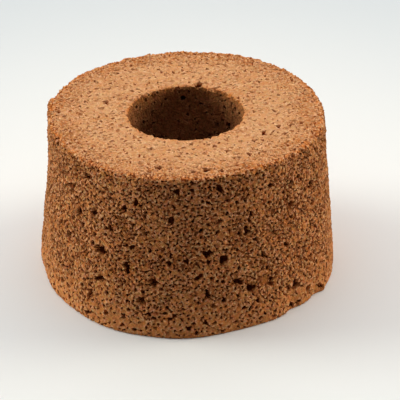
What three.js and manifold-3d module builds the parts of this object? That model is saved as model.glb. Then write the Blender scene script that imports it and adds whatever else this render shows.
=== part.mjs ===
// A small chiffon cake baked in a tube tin and turned out upside down: a tapered ring of open
// crumb with a flat foot, a slightly waisted wall, a crisp top edge and a round hole through it.
// Millimetres, +Z up. The origin is the middle of the footprint, on the surface it stands on.
import * as THREE from 'three';
import { mergeVertices } from 'three/addons/utils/BufferGeometryUtils.js';
import Module from 'manifold-3d';

// Driving dimensions
const HEIGHT = 55;
const BASE_RADIUS = 50;
const TOP_RADIUS = 46;
const HOLE_TOP_RADIUS = 18.9;
const HOLE_BASE_RADIUS = 17;
const TOP_EDGE_ROUND = 1.2;
const HOLE_EDGE_ROUND = 1;
const FOOT_ROUND = 0.9;
const LEAN = 1.2; // the top has settled this far to +X of the foot

// The outline isn't a true circle: waves around it, each with its size and the angle of one crest
const SWELLS = [
  { waves: 2, size: 1.55, crest: -77 },
  { waves: 3, size: 0.6, crest: 0 },
  { waves: 4, size: 0.65, crest: -16 },
  { waves: 11, size: 0.22, crest: 9 },
];
const SWELL_AT_TOP = 0.3; // share of those waves that is left at the top edge
const WAIST = { depth: 0.6, height: 34, reach: 18, deepest: 180, variation: 0.7 };
const TOP_ROLL = { waves: 3, size: 0.3, crest: 40 };
const ROLL_FADE = 8; // the top's roll dies out down the wall as this power of the height

// Dents and lips of the outer skin: place, reach across and up, and how far it moves out and up
const LOCAL_SHAPES = [
  { angle: -46, height: 0, across: 2.4, along: 9, out: -0.9, up: 0 },
  { angle: -54.5, height: 3, across: 2.7, along: 6, out: 0.4, up: 0 },
  { angle: -32, height: 0, across: 3, along: 3, out: -0.8, up: 0 },
  { angle: -27, height: 0, across: 1.5, along: 2.5, out: 0.75, up: 0 },
  { angle: 169, height: HEIGHT, across: 3.5, along: 2.5, out: 0.6, up: 0.9 },
  { angle: -158, height: HEIGHT, across: 4, along: 3.5, out: -1.1, up: -0.8 },
  { angle: 7, height: HEIGHT, across: 15, along: 20, out: -0.8, up: 0 },
];

// The largest burst bubbles of the front wall, then how many smaller ones are spread by rule
const LARGE_HOLLOWS = [
  { angle: -138, height: 36, across: 3.4, along: 1.8 },
  { angle: -115, height: 43, across: 2.2, along: 2.4 },
  { angle: -110, height: 46, across: 1.8, along: 2.4 },
  { angle: -96, height: 41, across: 2.4, along: 2.4 },
  { angle: -94, height: 51, across: 2.1, along: 1.9 },
  { angle: -77, height: 51, across: 2.4, along: 2.6 },
  { angle: -125, height: 26, across: 3.6, along: 3.2 },
  { angle: -113, height: 23, across: 2.2, along: 4.0 },
  { angle: -82, height: 29, across: 3.0, along: 2.6 },
  { angle: -76, height: 26, across: 2.8, along: 3.6 },
  { angle: -70, height: 17.5, across: 3.4, along: 2.2 },
  { angle: -65, height: 14, across: 3.2, along: 2.6 },
  { angle: -82, height: 15, across: 1.5, along: 3.8 },
];
const WALL_HOLLOWS = 150;
const TOP_HOLLOWS = 18;
const HOLE_HOLLOWS = 20;
const WALL_WIDTHS = { least: 1.5, most: 3.2 };
const TOP_WIDTHS = { least: 1.2, most: 1.8 };
const HOLLOW_ASPECTS = { least: 0.75, most: 1.25 };
const HOLLOW_DEPTH_SHARE = 0.42; // depth of a hollow's half, as a share of its width
const HOLLOW_SINK = 0.3; // the middle of a bubble lies this share of its depth under the skin
const EDGE_MARGIN = 3; // hollows keep this far from the foot and from both top edges
const CLEAR_OF_LARGE = 4; // and this far from the large ones
const ANGLE_JITTER = 9;

// Facets
const AROUND = 90;
const ROWS = { wall: 10, topEdge: 2, top: 3, holeEdge: 2, hole: 3, base: 1, foot: 1 };
const HOLLOW_SIDES = { drawn: 6, large: 8 };
const HOLLOW_RINGS = 3;

const GOLDEN_ANGLE = 180 * (3 - Math.sqrt(5));
const radians = THREE.MathUtils.degToRad;
const lerp = THREE.MathUtils.lerp;

// A repeatable draw between 0 and 1 for the hollow of this number; each use has its own salt
function draw(number, salt) {
  const mixed = Math.sin(number * 12.9898 + salt * 78.233) * 43758.5453;
  return mixed - Math.floor(mixed);
}

function bell(distance, reach) {
  return Math.exp(-((distance / reach) ** 2));
}

function wave({ waves, size, crest }, angle) {
  return size * Math.cos(waves * (angle - radians(crest)));
}

// Distance along the wall from one angle to another, in millimetres
function arcBetween(angle, other) {
  const turn = angle - other;
  return BASE_RADIUS * Math.atan2(Math.sin(turn), Math.cos(turn));
}

// How far the outer skin stands out from the plain cone at an angle and height
function skinOffset(angle, height) {
  const share = lerp(1, SWELL_AT_TOP, height / HEIGHT);
  let offset = 0;
  for (const swell of SWELLS) {
    offset += share * wave(swell, angle);
  }
  const lopsided = 1 + WAIST.variation * Math.cos(angle - radians(WAIST.deepest));
  offset -= WAIST.depth * lopsided * bell(height - WAIST.height, WAIST.reach);
  for (const shape of LOCAL_SHAPES) {
    const near = bell(arcBetween(angle, radians(shape.angle)), shape.across);
    offset += shape.out * near * bell(height - shape.height, shape.along);
  }
  return offset;
}

// How far the top stands above its plain height: 1 at the outer edge, 0 at the hole
function topOffset(angle, outward) {
  let offset = wave(TOP_ROLL, angle) * outward;
  for (const shape of LOCAL_SHAPES) {
    const near = bell(arcBetween(angle, radians(shape.angle)), shape.across);
    offset += shape.up * near * bell((1 - outward) * TOP_RADIUS, shape.along);
  }
  return offset;
}

function plainWallRadius(height) {
  return lerp(BASE_RADIUS, TOP_RADIUS, height / HEIGHT);
}

function plainHoleRadius(height) {
  return lerp(HOLE_BASE_RADIUS, HOLE_TOP_RADIUS, height / HEIGHT);
}

// Moves a point of the plain ring to where the uneven cake has it
function settle(point) {
  const angle = Math.atan2(point.y, point.x);
  const radius = Math.hypot(point.x, point.y);
  const height = point.z;
  const inner = plainHoleRadius(height);
  const outward = THREE.MathUtils.clamp((radius - inner) / (plainWallRadius(height) - inner), 0, 1);
  const settled = radius + outward * skinOffset(angle, height);
  const raised = height + topOffset(angle, outward) * (height / HEIGHT) ** ROLL_FADE;
  point.set(settled * Math.cos(angle) + LEAN * height / HEIGHT, settled * Math.sin(angle), raised);
  return point;
}

// The section of the ring, anticlockwise from the foot: up the wall, over the top, down the hole
function ringSection() {
  const at = (radius, height) => new THREE.Vector2(radius, height);
  const corner = (from, tip, to) => new THREE.QuadraticBezierCurve(from, tip, to);
  const wallLow = at(plainWallRadius(FOOT_ROUND), FOOT_ROUND);
  const wallHigh = at(plainWallRadius(HEIGHT - TOP_EDGE_ROUND), HEIGHT - TOP_EDGE_ROUND);
  const topOuter = at(TOP_RADIUS - TOP_EDGE_ROUND, HEIGHT);
  const topInner = at(HOLE_TOP_RADIUS + HOLE_EDGE_ROUND, HEIGHT);
  const holeHigh = at(plainHoleRadius(HEIGHT - HOLE_EDGE_ROUND), HEIGHT - HOLE_EDGE_ROUND);
  const holeLow = at(HOLE_BASE_RADIUS, 0);
  const footInner = at(BASE_RADIUS - FOOT_ROUND, 0);
  const runs = [
    [new THREE.LineCurve(wallLow, wallHigh), ROWS.wall],
    [corner(wallHigh, at(TOP_RADIUS, HEIGHT), topOuter), ROWS.topEdge],
    [new THREE.LineCurve(topOuter, topInner), ROWS.top],
    [corner(topInner, at(HOLE_TOP_RADIUS, HEIGHT), holeHigh), ROWS.holeEdge],
    [new THREE.LineCurve(holeHigh, holeLow), ROWS.hole],
    [new THREE.LineCurve(holeLow, footInner), ROWS.base],
    [corner(footInner, at(BASE_RADIUS, 0), wallLow), ROWS.foot],
  ];
  const section = runs.flatMap(([curve, rows]) => curve.getPoints(rows).slice(0, -1));
  section.push(section[0].clone());
  return section;
}

function ringGeometry() {
  const geometry = new THREE.LatheGeometry(ringSection(), AROUND);
  geometry.rotateX(Math.PI / 2);
  const position = geometry.getAttribute('position');
  const point = new THREE.Vector3();
  for (let i = 0; i < position.count; i += 1) {
    settle(point.fromBufferAttribute(position, i));
    position.setXYZ(i, point.x, point.y, point.z);
  }
  return geometry;
}

// A burst bubble: a few-sided ball squashed to its opening, set into the skin at a point
function hollowGeometry(point, outward, { across, along, turn, sides }) {
  const depth = HOLLOW_DEPTH_SHARE * (across + along) / 2;
  const levelSkin = outward.z === 1;
  const side = levelSkin ? new THREE.Vector3(1, 0, 0) : new THREE.Vector3(0, 0, 1).cross(outward);
  const upward = new THREE.Vector3().crossVectors(outward, side);
  const geometry = new THREE.SphereGeometry(1, sides, HOLLOW_RINGS);
  geometry.rotateX(Math.PI / 2);
  geometry.rotateZ(turn);
  geometry.scale(across / 2, along / 2, depth);
  const centre = point.clone().addScaledVector(outward, -HOLLOW_SINK * depth);
  const place = new THREE.Matrix4().makeBasis(side, upward, outward).setPosition(centre);
  return geometry.applyMatrix4(place);
}

function wallHollow(angleDegrees, height, opening) {
  const angle = radians(angleDegrees);
  const radius = plainWallRadius(height);
  const point = settle(new THREE.Vector3(radius * Math.cos(angle), radius * Math.sin(angle), height));
  return hollowGeometry(point, new THREE.Vector3(Math.cos(angle), Math.sin(angle), 0), opening);
}

function topHollow(angleDegrees, radius, opening) {
  const angle = radians(angleDegrees);
  const point = settle(new THREE.Vector3(radius * Math.cos(angle), radius * Math.sin(angle), HEIGHT));
  return hollowGeometry(point, new THREE.Vector3(0, 0, 1), opening);
}

function holeHollow(angleDegrees, height, opening) {
  const angle = radians(angleDegrees);
  const radius = plainHoleRadius(height);
  const point = settle(new THREE.Vector3(radius * Math.cos(angle), radius * Math.sin(angle), height));
  return hollowGeometry(point, new THREE.Vector3(-Math.cos(angle), -Math.sin(angle), 0), opening);
}

// The opening of a hollow spread by rule: small ones are commoner than large ones
function drawnOpening(number, widths) {
  const across = lerp(widths.least, widths.most, draw(number, 1) ** 2);
  const along = across * lerp(HOLLOW_ASPECTS.least, HOLLOW_ASPECTS.most, draw(number, 2));
  return { across, along, turn: Math.PI * draw(number, 3), sides: HOLLOW_SIDES.drawn };
}

function nearLargeHollow(angleDegrees, height) {
  return LARGE_HOLLOWS.some((large) => {
    const arc = arcBetween(radians(angleDegrees), radians(large.angle));
    return Math.hypot(arc, height - large.height) < CLEAR_OF_LARGE;
  });
}

function allHollows() {
  const hollows = LARGE_HOLLOWS.map((large, i) => {
    const opening = { ...large, turn: draw(i, 4), sides: HOLLOW_SIDES.large };
    return wallHollow(large.angle, large.height, opening);
  });
  for (let i = 0; i < WALL_HOLLOWS; i += 1) {
    const height = lerp(EDGE_MARGIN, HEIGHT - EDGE_MARGIN, (i + draw(i, 5)) / WALL_HOLLOWS);
    const angle = GOLDEN_ANGLE * i + ANGLE_JITTER * (draw(i, 6) - 0.5);
    if (!nearLargeHollow(angle, height)) {
      hollows.push(wallHollow(angle, height, drawnOpening(i, WALL_WIDTHS)));
    }
  }
  const innermost = HOLE_TOP_RADIUS + EDGE_MARGIN;
  const outermost = TOP_RADIUS - EDGE_MARGIN;
  for (let i = 0; i < TOP_HOLLOWS; i += 1) {
    const radius = Math.sqrt(lerp(innermost ** 2, outermost ** 2, (i + 0.5) / TOP_HOLLOWS));
    hollows.push(topHollow(GOLDEN_ANGLE * i, radius, drawnOpening(WALL_HOLLOWS + i, TOP_WIDTHS)));
  }
  for (let i = 0; i < HOLE_HOLLOWS; i += 1) {
    const height = lerp(EDGE_MARGIN, HEIGHT - EDGE_MARGIN, (i + 0.5) / HOLE_HOLLOWS);
    const opening = drawnOpening(WALL_HOLLOWS + TOP_HOLLOWS + i, WALL_WIDTHS);
    hollows.push(holeHollow(GOLDEN_ANGLE * i, height, opening));
  }
  return hollows;
}

const wasm = await Module();
wasm.setup();

function solidFrom(geometry) {
  geometry.deleteAttribute('normal');
  geometry.deleteAttribute('uv');
  const merged = mergeVertices(geometry);
  const vertProperties = merged.getAttribute('position').array;
  const triVerts = Uint32Array.from(merged.getIndex().array);
  return new wasm.Manifold(new wasm.Mesh({ numProp: 3, vertProperties, triVerts }));
}

function geometryFrom(solid) {
  const { vertProperties, triVerts } = solid.getMesh();
  const geometry = new THREE.BufferGeometry();
  geometry.setAttribute('position', new THREE.BufferAttribute(vertProperties, 3));
  geometry.setIndex(new THREE.BufferAttribute(triVerts, 1));
  geometry.computeVertexNormals();
  return geometry;
}

// Puts the middle of the footprint on the origin; the foot is already at height 0
function centred(geometry) {
  geometry.computeBoundingBox();
  const middle = geometry.boundingBox.getCenter(new THREE.Vector3());
  return geometry.translate(-middle.x, -middle.y, 0);
}

let solid = solidFrom(ringGeometry());
for (const hollow of allHollows()) {
  solid = solid.subtract(solidFrom(hollow));
}

const crumb = new THREE.MeshStandardMaterial({ color: 0x9c6238, roughness: 0.95, metalness: 0 });
const ring = new THREE.Mesh(centred(geometryFrom(solid)), crumb);
ring.name = 'chiffon_ring';

const cake = new THREE.Group();
cake.add(ring);

export default cake;
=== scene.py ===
# %% [markdown]
# # A small chiffon cake, crumb by crumb
# The real thing is one piece of sponge: a tapered ring, turned out of a tube tin, with a thin tan skin
# on top and an open brown crumb down its sides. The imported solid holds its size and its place. Here it
# gets the surface that a camera sees: thousands of burst bubbles, cut as real hollows in one closed mesh.

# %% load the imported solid
import math
from collections import namedtuple

import bpy
import numpy as np
from mathutils import Matrix, Vector
from mathutils.geometry import delaunay_2d_cdt


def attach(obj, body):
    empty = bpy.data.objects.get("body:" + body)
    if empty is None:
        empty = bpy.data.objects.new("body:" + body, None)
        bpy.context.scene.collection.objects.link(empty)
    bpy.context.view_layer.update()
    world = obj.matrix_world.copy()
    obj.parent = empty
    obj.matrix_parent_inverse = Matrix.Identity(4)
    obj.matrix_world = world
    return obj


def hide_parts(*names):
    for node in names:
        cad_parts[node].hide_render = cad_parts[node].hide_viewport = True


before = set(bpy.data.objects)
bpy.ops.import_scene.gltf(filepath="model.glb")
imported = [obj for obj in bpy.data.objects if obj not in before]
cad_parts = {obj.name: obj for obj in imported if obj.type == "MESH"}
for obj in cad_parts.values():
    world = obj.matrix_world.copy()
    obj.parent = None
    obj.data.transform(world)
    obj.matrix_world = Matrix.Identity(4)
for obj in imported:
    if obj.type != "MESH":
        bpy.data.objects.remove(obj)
bpy.context.view_layer.update()

# %% [markdown]
# ## The camera
# A long lens from about a metre away, looking down at 29 degrees, with the small tilt of a hand-held
# picture. The camera could be aimed by eye, but a few measured numbers keep it the same on each run.

# %% the camera
MM = 0.001
IMAGE_WIDTH = 400
FOCAL_PIXELS = 2852
SENSOR_WIDTH = 36.0
CAMERA_ELEVATION = math.radians(29.03)
CAMERA_ROLL = math.radians(-1.11)
CAMERA_DISTANCE = 950 * MM
CAMERA_AIM = Vector((4.83, 0.35, 22.12)) * MM

camera_data = bpy.data.cameras.new("photo_view")
camera_data.sensor_width = SENSOR_WIDTH
camera_data.lens = FOCAL_PIXELS / IMAGE_WIDTH * SENSOR_WIDTH
camera = bpy.data.objects.new("photo_view", camera_data)
bpy.context.scene.collection.objects.link(camera)
bpy.context.scene.camera = camera
view_forward = Vector((0, math.cos(CAMERA_ELEVATION), -math.sin(CAMERA_ELEVATION)))
level_up = Vector((0, math.sin(CAMERA_ELEVATION), math.cos(CAMERA_ELEVATION)))
view_right = math.cos(CAMERA_ROLL) * Vector((1, 0, 0)) + math.sin(CAMERA_ROLL) * level_up
view_up = view_right.cross(view_forward)
camera_axes = Matrix((view_right, view_up, -view_forward)).transposed()
camera.matrix_world = Matrix.LocRotScale(CAMERA_AIM - view_forward * CAMERA_DISTANCE, camera_axes, None)
print("lens", round(camera_data.lens, 1), "mm, at", [round(v, 3) for v in camera.location])

# %% [markdown]
# ## The form under the crumb
# Before any bubble is cut, the cake is a smooth, slightly lopsided ring. The same few sizes as the solid's
# give it here, in millimetres: a cone, a waist, waves round the outline, and small dents and lips. Working
# with arrays lets one call place a whole surface of points.

# %% sizes of the ring
HEIGHT = 55.0
BASE_RADIUS = 50.0
TOP_RADIUS = 46.0
HOLE_TOP_RADIUS = 18.9
HOLE_BASE_RADIUS = 17.0
TOP_EDGE_ROUND = 1.2
HOLE_EDGE_ROUND = 1.0
FOOT_ROUND = 0.9
# how far the top is pushed to the right
LEAN = 1.2

# waves round the outline: how many, how high, and the angle of one crest; then the share left at the top
SWELLS = [(2, 1.55, -77), (3, 0.6, 0), (4, 0.65, -16), (11, 0.22, 9)]
SWELL_AT_TOP = 0.3
# a waist: how deep, at what height and over what reach; then its deeper side, and by how much
WAIST_DEPTH, WAIST_HEIGHT, WAIST_REACH = 0.6, 34.0, 18.0
WAIST_SIDE, WAIST_VARIATION = 180, 0.7
# the top's roll, as one more wave, and the power by which it fades below the top
TOP_ROLL = (3, 0.3, 40)
ROLL_FADE = 8

# dents and lips: angle, height, reach across, reach up, how far out, how far up
LOCAL_SHAPES = [
    (-46, 0.0, 2.4, 9.0, -0.9, 0.0),
    (-54.5, 3.0, 2.7, 6.0, 0.4, 0.0),
    (-32, 0.0, 3.0, 3.0, -0.8, 0.0),
    (-27, 0.0, 1.5, 2.5, 0.75, 0.0),
    (169, HEIGHT, 3.5, 2.5, 0.6, 0.9),
    (-158, HEIGHT, 4.0, 3.5, -1.1, -0.8),
    (7, HEIGHT, 15.0, 20.0, -0.8, 0.0),
]
print("ring", 2 * BASE_RADIUS, "mm across and", HEIGHT, "high,", len(SWELLS), "waves,",
      len(LOCAL_SHAPES), "dents and lips")


# %% bells, waves and cones
def bell(distance, reach):
    return np.exp(-((distance / reach) ** 2))


def wave(shape, angle):
    waves, size, crest = shape
    return size * np.cos(waves * (angle - math.radians(crest)))


def arc_between(angle, degrees):
    turn = angle - math.radians(degrees)
    return BASE_RADIUS * np.arctan2(np.sin(turn), np.cos(turn))


def wall_radius(height):
    return BASE_RADIUS + (TOP_RADIUS - BASE_RADIUS) * height / HEIGHT


def hole_radius(height):
    return HOLE_BASE_RADIUS + (HOLE_TOP_RADIUS - HOLE_BASE_RADIUS) * height / HEIGHT


print("half way up, sponge from", hole_radius(HEIGHT / 2), "to", wall_radius(HEIGHT / 2), "mm out")

# %% the uneven ring as a function
TURN = 2 * math.pi
MEASURE_ROUND, MEASURE_UP = 721, 23


def skin_offset(angle, height):
    """How far the outer skin stands out from the plain cone."""
    share = 1 + (SWELL_AT_TOP - 1) * height / HEIGHT
    offset = share * sum(wave(shape, angle) for shape in SWELLS)
    lopsided = 1 + WAIST_VARIATION * np.cos(angle - math.radians(WAIST_SIDE))
    offset = offset - WAIST_DEPTH * lopsided * bell(height - WAIST_HEIGHT, WAIST_REACH)
    for degrees, level, across, along, out, _ in LOCAL_SHAPES:
        offset = offset + out * bell(arc_between(angle, degrees), across) * bell(height - level, along)
    return offset


def top_offset(angle, outward):
    """How far the top stands above its plain height, from the hole (0) to the edge (1)."""
    offset = wave(TOP_ROLL, angle) * outward
    from_edge = (1 - outward) * TOP_RADIUS
    for degrees, _, across, along, _, rise in LOCAL_SHAPES:
        offset = offset + rise * bell(arc_between(angle, degrees), across) * bell(from_edge, along)
    return offset


def settle(radius, angle, height):
    """Moves points of the plain ring to where the uneven cake has them."""
    inner = hole_radius(height)
    outward = np.clip((radius - inner) / (wall_radius(height) - inner), 0, 1)
    out = radius + outward * skin_offset(angle, height)
    rise = height + top_offset(angle, outward) * (height / HEIGHT) ** ROLL_FADE
    return np.stack([out * np.cos(angle) + LEAN * height / HEIGHT, out * np.sin(angle), rise], axis=-1)


all_round, levels = np.meshgrid(np.linspace(0, TURN, MEASURE_ROUND), np.linspace(0, HEIGHT, MEASURE_UP))
smooth_wall = settle(wall_radius(levels), all_round, levels).reshape(-1, 3)
footprint_middle = (smooth_wall.min(axis=0) + smooth_wall.max(axis=0)) / 2
footprint_middle[2] = 0
print("footprint", np.ptp(smooth_wall[:, :2], axis=0).round(2), "mm, middle", footprint_middle.round(2))

# %% [markdown]
# ## Unrolling the skin
# A label round a tin can be unrolled, and so can this skin: the way round is an angle, and the way along is
# the distance from the foot, up the wall, over the top and down the hole. On that map every bubble is
# just a spot. The section is a fine polyline, so any distance gives a radius and a height by interpolation.

# %% the section, from the foot to the bottom of the hole
CORNER_STEPS = 12


def corner(start, tip, end):
    t = np.linspace(0, 1, CORNER_STEPS)[:, None]
    return (1 - t) ** 2 * np.array(start) + 2 * t * (1 - t) * np.array(tip) + t ** 2 * np.array(end)


wall_low = (wall_radius(FOOT_ROUND), FOOT_ROUND)
wall_high = (wall_radius(HEIGHT - TOP_EDGE_ROUND), HEIGHT - TOP_EDGE_ROUND)
top_outer = (TOP_RADIUS - TOP_EDGE_ROUND, HEIGHT)
top_inner = (HOLE_TOP_RADIUS + HOLE_EDGE_ROUND, HEIGHT)
hole_high = (hole_radius(HEIGHT - HOLE_EDGE_ROUND), HEIGHT - HOLE_EDGE_ROUND)
section = np.concatenate([
    corner((BASE_RADIUS - FOOT_ROUND, 0), (BASE_RADIUS, 0), wall_low),
    corner(wall_high, (TOP_RADIUS, HEIGHT), top_outer),
    corner(top_inner, (HOLE_TOP_RADIUS, HEIGHT), hole_high),
    [(HOLE_BASE_RADIUS, 0)],
])
# the step between rows of the map
ROW = 0.1
along_knots = np.concatenate([[0], np.cumsum(np.linalg.norm(np.diff(section, axis=0), axis=1))])
FULL_LENGTH = along_knots[-1]
rows = np.arange(0, FULL_LENGTH, ROW)
row_radius = np.interp(rows, along_knots, section[:, 0])
row_height = np.interp(rows, along_knots, section[:, 1])
# the way along in steps of the local radius, which lays the skin flat with its small shapes kept true
row_flat = np.concatenate([[0], np.cumsum(ROW / row_radius)[:-1]])


def radius_at(along):
    return np.interp(along, rows, row_radius)


def along_of(edge_point):
    return along_knots[np.argmin(np.linalg.norm(section - np.array(edge_point), axis=1))]


TOP_EDGE_AT = (along_of(wall_high) + along_of(top_outer)) / 2
HOLE_EDGE_AT = (along_of(top_inner) + along_of(hole_high)) / 2
print("skin length foot to hole", round(FULL_LENGTH, 1), "mm, top edge at", round(TOP_EDGE_AT, 1),
      "hole edge at", round(HOLE_EDGE_AT, 1))

# %% points and normals of the smooth skin
NORMAL_STEP = 0.3


def skin_points(angle, along):
    radius = np.interp(along, along_knots, section[:, 0])
    height = np.interp(along, along_knots, section[:, 1])
    return settle(radius, angle, height) - footprint_middle


def skin_normals(angle, along):
    """Outward normals of the smooth skin, over a step wide enough to round its edges."""
    before, after = np.maximum(along - NORMAL_STEP, 0), np.minimum(along + NORMAL_STEP, FULL_LENGTH)
    turn = NORMAL_STEP / radius_at(along)
    round_way = skin_points(angle + turn, along) - skin_points(angle - turn, along)
    along_way = skin_points(angle, after) - skin_points(angle, before)
    normal = np.cross(round_way, along_way)
    return normal / np.linalg.norm(normal, axis=1, keepdims=True)


print("the skin starts at", skin_points(np.zeros(1), np.zeros(1)).round(2))

# %% [markdown]
# ## Burst bubbles
# Chiffon batter is beaten full of air. Where the tin pulled the skin off, each bubble is an open hollow, and
# the sponge left between them is thin. The bubbles could be a bump in the material, but then edges stay
# smooth and side light gives them away. So each is a spot on the map with a size, a shape and a depth.
# Large ones go first, and smaller ones are dropped into whatever room is left. A crumb that stands up from
# the skin is the same kind of spot, with a depth below zero.

# %% the map and its stamps
COLUMNS = 3072
# how far round a bubble its room is noted, and how far a ragged edge may reach, in half widths
ROOM_REACH, STAMP_MARGIN = 3.0, 1.7
# waves that make an edge ragged, how flat a bubble's floor is, and how pale a raised crumb is painted, as a
# painted highlight
RAGGED_WAVES, BOWL_POWER, CRUMB_HIGHLIGHT = (2, 3, 5), 4, -0.6
BUBBLE_SEED = 20
depth_map = np.zeros((len(rows), COLUMNS), np.float32)
shade_map = np.zeros((len(rows), COLUMNS), np.float32)
room_map = np.full((len(rows), COLUMNS), ROOM_REACH, np.float32)
rng = np.random.default_rng(BUBBLE_SEED)
Bubble = namedtuple("Bubble", "angle along across tall turn depth shade ragged phase")


def window(angle, along, reach):
    """Rows, columns and millimetre offsets of the map round one spot."""
    radius = radius_at(along)
    first, last = int((along - reach) / ROW), int((along + reach) / ROW) + 2
    row_index = np.arange(max(first, 0), min(last, len(rows)))
    half = int(reach / radius / TURN * COLUMNS) + 1
    middle = int(angle / TURN * COLUMNS)
    column_index = np.arange(middle - half, middle + half + 1)
    across = (column_index * TURN / COLUMNS - angle) * radius
    return np.ix_(row_index, column_index % COLUMNS), across[None, :], (rows[row_index] - along)[:, None]


def ragged_edge(direction, bubble):
    """How far a bubble's ragged edge is from its middle, as a share of its half width."""
    waves = zip(RAGGED_WAVES, bubble.ragged, bubble.phase)
    return 1 + sum(size * np.sin(count * direction + start) for count, size, start in waves)


def stamp(bubble):
    """Sinks a bubble into the map with its painted shade, a crumb with its painted highlight, and notes how
    much room it leaves round it.
    """
    reach = max(bubble.across, bubble.tall) / 2
    patch, dx, dy = window(bubble.angle, bubble.along, reach * STAMP_MARGIN)
    x = (dx * math.cos(bubble.turn) + dy * math.sin(bubble.turn)) / (bubble.across / 2)
    y = (dy * math.cos(bubble.turn) - dx * math.sin(bubble.turn)) / (bubble.tall / 2)
    share = np.hypot(x, y) / ragged_edge(np.arctan2(y, x), bubble)
    bowl = np.sqrt(np.clip(1 - share ** BOWL_POWER, 0, 1))
    for values, peak in ((depth_map, bubble.depth), (shade_map, bubble.shade)):
        values[patch] = np.where(abs(peak) * bowl > abs(values[patch]), peak * bowl, values[patch])
    patch, dx, dy = window(bubble.angle, bubble.along, reach + ROOM_REACH)
    mean_radius = (bubble.across + bubble.tall) / 4
    room_map[patch] = np.minimum(room_map[patch], np.hypot(dx, dy) - mean_radius)


def make_bubble(angle, along, across, tall, turn, depth, ragged, shade=1.0):
    bubble = Bubble(
        angle % TURN, along, across, tall, turn, depth, shade if depth > 0 else CRUMB_HIGHLIGHT,
        rng.uniform(0, ragged, len(RAGGED_WAVES)), rng.uniform(0, TURN, len(RAGGED_WAVES)),
    )
    stamp(bubble)
    return bubble


print("map of", depth_map.shape, "cells, steps of", ROW, "mm along the skin")

# %% the hollows that the solid has too
# where the large ones are: degrees round, height, width and height of the opening
LARGE_HOLLOWS = [
    (-138, 36.0, 3.4, 1.8), (-115, 43.0, 2.2, 2.4), (-110, 46.0, 1.8, 2.4), (-96, 41.0, 2.4, 2.4),
    (-94, 51.0, 2.1, 1.9), (-77, 51.0, 2.4, 2.6), (-125, 26.0, 3.6, 3.2), (-113, 23.0, 2.2, 4.0),
    (-82, 29.0, 3.0, 2.6), (-76, 26.0, 2.8, 3.6), (-70, 17.5, 3.4, 2.2), (-65, 14.0, 3.2, 2.6),
    (-82, 15.0, 1.5, 3.8),
]
WALL_HOLLOWS, TOP_HOLLOWS, HOLE_HOLLOWS = 150, 18, 20
WALL_WIDTHS, TOP_WIDTHS, ASPECTS = (1.5, 3.2), (1.2, 1.8), (0.75, 1.25)
EDGE_MARGIN, CLEAR_OF_LARGE, ANGLE_JITTER = 3.0, 4.0, 9.0
GOLDEN_ANGLE = 180 * (3 - math.sqrt(5))
HOLLOW_DEPTH, HOLLOW_RAGGED, HOLLOW_SHADES = 0.58, 0.26, (0.4, 1.1)
# a sine scrambled by large numbers, and which draw decides what
NUMBER_STRIDE, SALT_STRIDE, SCRAMBLE = 12.9898, 78.233, 43758.5453
WIDTH_DRAW, ASPECT_DRAW, HEIGHT_DRAW, ANGLE_DRAW, SHADE_DRAW = 1, 2, 5, 6, 7


def draw(number, salt):
    """A number from 0 to 1 that looks random, by the same rule as in the solid's source."""
    mixed = math.sin(number * NUMBER_STRIDE + salt * SALT_STRIDE) * SCRAMBLE
    return mixed - math.floor(mixed)


def between(limits, share):
    return limits[0] + (limits[1] - limits[0]) * share


print(len(LARGE_HOLLOWS), "large hollows by hand, the others by formula")


# %% ways to place a hollow
def hollow(degrees, along, across, tall, shade=1.0):
    depth = HOLLOW_DEPTH * (across + tall) / 2
    return make_bubble(math.radians(degrees), along, across, tall, 0.0, depth, HOLLOW_RAGGED, shade)


def drawn_hollow(degrees, along, number, widths):
    across = between(widths, draw(number, WIDTH_DRAW) ** 2)
    shade = between(HOLLOW_SHADES, draw(number, SHADE_DRAW))
    return hollow(degrees, along, across, across * between(ASPECTS, draw(number, ASPECT_DRAW)), shade)


def wall_along(height):
    return np.interp(height, row_height[rows < TOP_EDGE_AT], rows[rows < TOP_EDGE_AT])


def top_along(radius):
    return TOP_EDGE_AT + TOP_RADIUS - radius


def hole_along(height):
    inside = rows > HOLE_EDGE_AT
    return np.interp(height, row_height[inside][::-1], rows[inside][::-1])


def wall_hollows(places):
    return [hollow(degrees, wall_along(height), across, tall) for degrees, height, across, tall in places]


print("half way up the wall is", wall_along(HEIGHT / 2).round(1), "mm along the skin")

# %% stamp the shared hollows
bubbles = wall_hollows(LARGE_HOLLOWS)
up_limits = (EDGE_MARGIN, HEIGHT - EDGE_MARGIN)
for i in range(WALL_HOLLOWS):
    height = between(up_limits, (i + draw(i, HEIGHT_DRAW)) / WALL_HOLLOWS)
    degrees = GOLDEN_ANGLE * i + ANGLE_JITTER * (draw(i, ANGLE_DRAW) - 0.5)
    angle = math.radians(degrees)
    away = [math.hypot(arc_between(angle, large[0]), height - large[1]) for large in LARGE_HOLLOWS]
    if min(away) >= CLEAR_OF_LARGE:
        bubbles.append(drawn_hollow(degrees, wall_along(height), i, WALL_WIDTHS))
out_limits = ((HOLE_TOP_RADIUS + EDGE_MARGIN) ** 2, (TOP_RADIUS - EDGE_MARGIN) ** 2)
for i in range(TOP_HOLLOWS):
    radius = math.sqrt(between(out_limits, (i + 0.5) / TOP_HOLLOWS))
    bubbles.append(drawn_hollow(GOLDEN_ANGLE * i, top_along(radius), WALL_HOLLOWS + i, TOP_WIDTHS))
for i in range(HOLE_HOLLOWS):
    height = between(up_limits, (i + 0.5) / HOLE_HOLLOWS)
    number = WALL_HOLLOWS + TOP_HOLLOWS + i
    bubbles.append(drawn_hollow(GOLDEN_ANGLE * i, hole_along(height), number, WALL_WIDTHS))
print(len(bubbles), "hollows shared with the solid")

# %% lobes for the large hollows, and more pits on the wall and the top
# small hollows at each large one's edge: how many, how large and how far out, as shares of it
LOBES, LOBE_SIZE, LOBE_SHIFT = 2, 0.55, 0.42
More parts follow.
